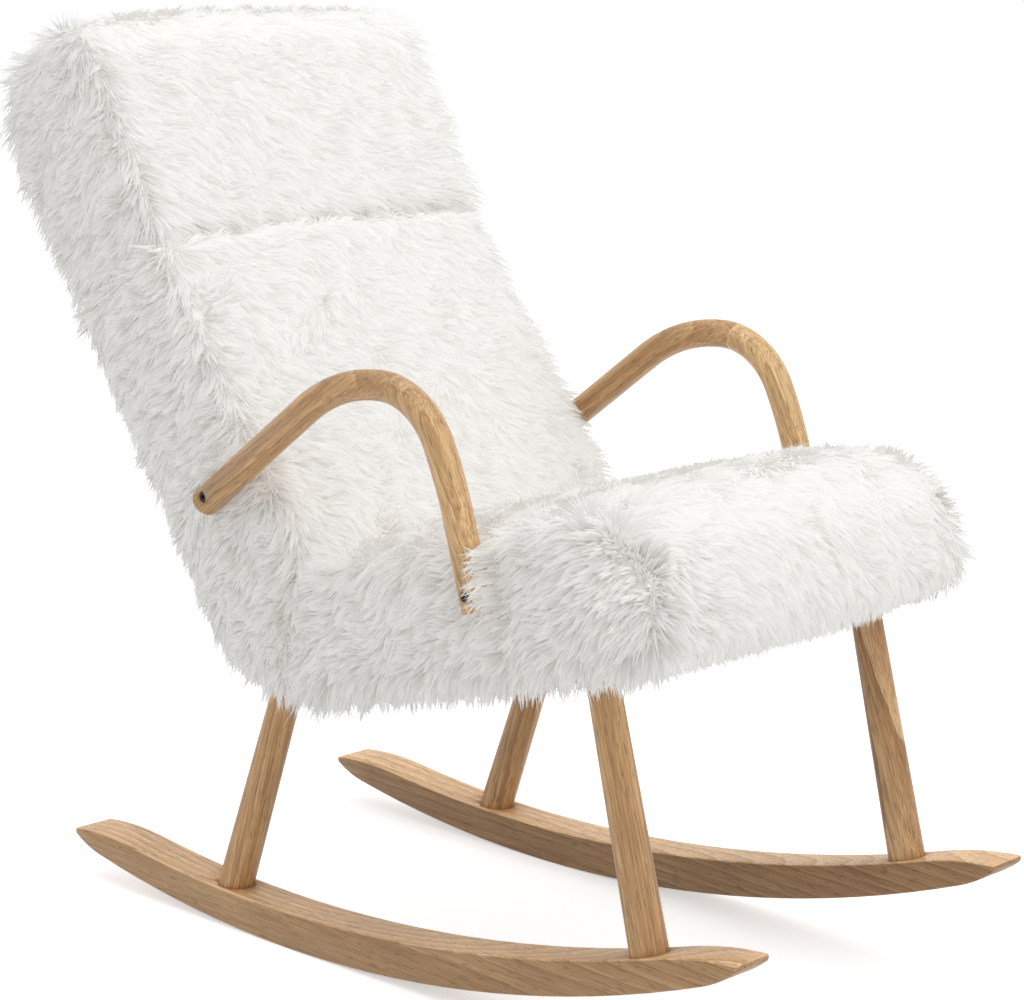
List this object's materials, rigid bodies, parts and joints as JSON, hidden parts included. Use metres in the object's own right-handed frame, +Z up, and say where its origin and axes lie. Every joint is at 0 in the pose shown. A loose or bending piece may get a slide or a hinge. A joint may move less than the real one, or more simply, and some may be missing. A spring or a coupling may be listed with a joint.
{
  "type": "upholstered rocking chair",
  "caption": "Rocking chair on two curved wooden runners, with round legs, arched round arms and a deep reclined seat, back and headrest covered in long white pile.",
  "frame": {"origin": "middle of the chair on the floor, under the line where the two rockers touch it", "axes": "+Z up, the sitter faces -Y, and +X is the sitter's left side"},
  "size_m": [0.534, 1.0274, 0.9477],
  "materials": {
    "oiled_wood": "clear satin lacquer on pale hardwood",
    "long_pile": "long white pile, matte",
    "foam": "open-cell upholstery foam",
    "frame_wood": "raw planed softwood",
    "plywood": "raw plywood",
    "hardboard": "smooth brown board",
    "elastic_webbing": "woven elastic",
    "dust_cloth": "thin non-woven cloth",
    "spring_steel": "drawn wire",
    "zinc_steel": "zinc plated",
    "black_steel": "black oxide"
  },
  "bodies": {
    "root": {"left_rocker": "oiled_wood", "right_rocker": "oiled_wood", "left_front_leg": "oiled_wood", "left_rear_leg": "oiled_wood", "right_front_leg": "oiled_wood", "right_rear_leg": "oiled_wood", "left_arm_front": "oiled_wood", "left_arm_rear": "oiled_wood", "right_arm_front": "oiled_wood", "right_arm_rear": "oiled_wood", "seat_cushion": "long_pile", "back_cushion": "long_pile", "headrest_cushion": "long_pile", "seat_foam": "foam", "back_foam": "foam", "headrest_foam": "foam", "left_seat_rail": "frame_wood", "right_seat_rail": "frame_wood", "left_back_upright": "frame_wood", "right_back_upright": "frame_wood", "front_rail": "frame_wood", "rear_rail": "frame_wood", "lumbar_rail": "frame_wood", "middle_back_rail": "frame_wood", "top_rail": "frame_wood", "corner_gussets": "plywood", "gusset_screws": "zinc_steel", "frame_dowels": "frame_wood", "back_straps": "elastic_webbing", "back_panel": "hardboard", "seat_springs": "spring_steel", "spring_clips": "zinc_steel", "dust_cover": "dust_cloth", "hanger_bolts": "zinc_steel", "foot_bolts": "zinc_steel", "foot_washers": "zinc_steel", "arm_bolts": "black_steel", "arm_tee_nuts": "zinc_steel"}
  },
  "joints": []
}
